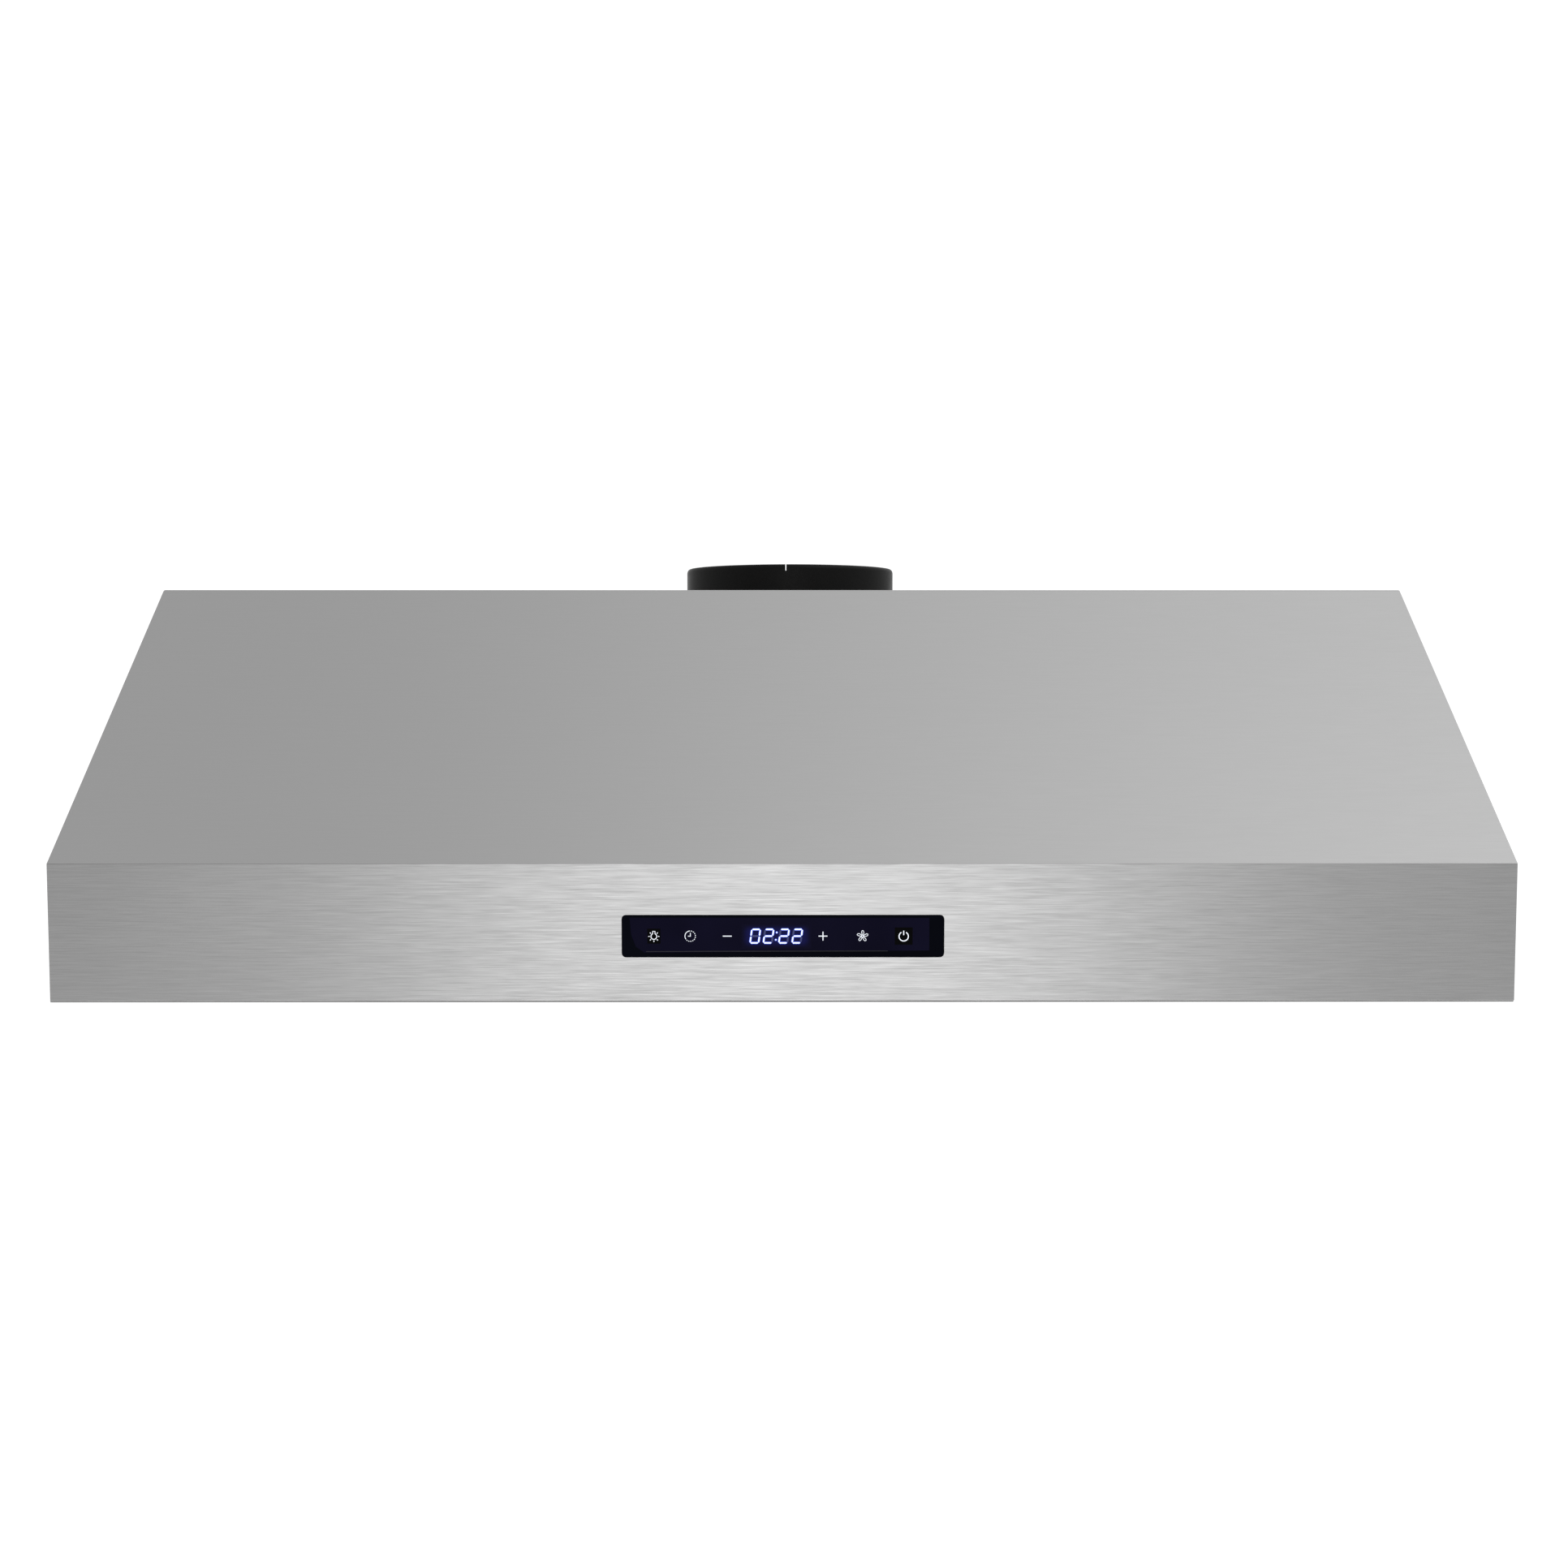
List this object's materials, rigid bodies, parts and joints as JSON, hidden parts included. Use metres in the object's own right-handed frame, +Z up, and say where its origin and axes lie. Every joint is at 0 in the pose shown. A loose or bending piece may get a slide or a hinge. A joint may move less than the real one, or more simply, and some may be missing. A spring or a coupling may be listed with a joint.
{
  "type": "under cabinet range hood",
  "caption": "Under cabinet range hood with a sloped steel canopy, touch control, baffle filters that swing down, lamps, a centrifugal blower and a round duct collar with a damper.",
  "frame": {"origin": "middle of the flat top face, in plan the middle of the whole canopy", "axes": "+Z up out of the top face into the cabinet, +X along the front towards the right as seen from the front, -Y out of the front"},
  "size_m": [0.756, 0.508, 0.2558],
  "materials": {
    "brushed_steel": "brushed along the length of the sheet",
    "bearing_steel": "ground",
    "zinc_plate": "zinc plated",
    "black_plastic": "moulded, satin",
    "grey_plastic": "moulded, matt",
    "touch_glass": "polished, printed black on the back",
    "lamp_lens": "frosted",
    "heat_sink": "die cast",
    "circuit_board": "solder resist",
    "copper": "enamelled winding",
    "lamination": "stacked sheet",
    "rubber": "matt"
  },
  "bodies": {
    "canopy": {"canopy_top": "brushed_steel", "front_fascia": "brushed_steel", "side_panel_left": "brushed_steel", "side_panel_right": "brushed_steel", "back_panel": "brushed_steel", "underside_panel": "brushed_steel", "filter_rear_rail": "zinc_plate", "lamp_bezel_left": "brushed_steel", "lamp_lens_left": "lamp_lens", "lamp_module_left": "heat_sink", "lamp_bezel_right": "brushed_steel", "lamp_lens_right": "lamp_lens", "lamp_module_right": "heat_sink", "duct_collar": "black_plastic", "damper_pin": "zinc_plate", "duct_screw_1": "zinc_plate", "duct_screw_2": "zinc_plate", "duct_screw_3": "zinc_plate", "duct_screw_4": "zinc_plate", "blower_housing_left": "black_plastic", "blower_housing_right": "black_plastic", "motor_mount": "zinc_plate", "motor_case": "zinc_plate", "motor_end_cap": "zinc_plate", "motor_stator": "lamination", "motor_bearing_rear": "bearing_steel", "motor_bearing_front": "bearing_steel", "control_glass": "touch_glass", "control_housing": "black_plastic", "control_board": "circuit_board", "display_module": "grey_plastic", "electronics_box": "grey_plastic", "electronics_lid": "grey_plastic", "power_board": "circuit_board", "transformer": "copper", "cable_bushing": "rubber", "motor_capacitor": "grey_plastic", "capacitor_strap": "zinc_plate", "control_lead": "rubber", "motor_lead": "rubber", "lamp_lead_left": "rubber", "lamp_lead_right": "rubber"},
    "rotor": {"impeller_plate": "grey_plastic", "impeller_blades_left": "grey_plastic", "impeller_blades_right": "grey_plastic", "impeller_nut": "zinc_plate", "motor_rotor": "lamination", "motor_shaft": "bearing_steel"},
    "damper_flap_left": {"damper_flap_left": "black_plastic"},
    "damper_flap_right": {"damper_flap_right": "black_plastic"},
    "filter_left": {"filter_frame_left": "brushed_steel", "filter_lower_baffles_left": "brushed_steel", "filter_upper_baffles_left": "brushed_steel", "filter_catch_left": "brushed_steel"},
    "filter_handle_left": {"filter_handle_left": "brushed_steel"},
    "filter_right": {"filter_frame_right": "brushed_steel", "filter_lower_baffles_right": "brushed_steel", "filter_upper_baffles_right": "brushed_steel", "filter_catch_right": "brushed_steel"},
    "filter_handle_right": {"filter_handle_right": "brushed_steel"}
  },
  "joints": [
    {"name": "rotor_spin", "type": "hinge", "parent": "canopy", "child": "rotor", "pos_m": [0.006, 0.11255, -0.09], "axis": [1, 0, 0], "continuous": true},
    {"name": "damper_left_swing", "type": "hinge", "parent": "canopy", "child": "damper_flap_left", "pos_m": [0.006, 0.146, 0.012], "axis": [0, 1, 0], "range_deg": [0, 80]},
    {"name": "damper_right_swing", "type": "hinge", "parent": "canopy", "child": "damper_flap_right", "pos_m": [0.006, 0.146, 0.012], "axis": [0, -1, 0], "range_deg": [0, 80]},
    {"name": "filter_left_drop", "type": "hinge", "parent": "canopy", "child": "filter_left", "pos_m": [-0.161, 0.2204, -0.2038], "axis": [1, 0, 0], "range_deg": [0, 75]},
    {"name": "filter_handle_left_swing", "type": "hinge", "parent": "filter_left", "child": "filter_handle_left", "pos_m": [-0.161, -0.1075, -0.21], "axis": [1, 0, 0], "range_deg": [-80, 80]},
    {"name": "filter_right_drop", "type": "hinge", "parent": "canopy", "child": "filter_right", "pos_m": [0.161, 0.2204, -0.2038], "axis": [1, 0, 0], "range_deg": [0, 75]},
    {"name": "filter_handle_right_swing", "type": "hinge", "parent": "filter_right", "child": "filter_handle_right", "pos_m": [0.161, -0.1075, -0.21], "axis": [1, 0, 0], "range_deg": [-80, 80]}
  ]
}
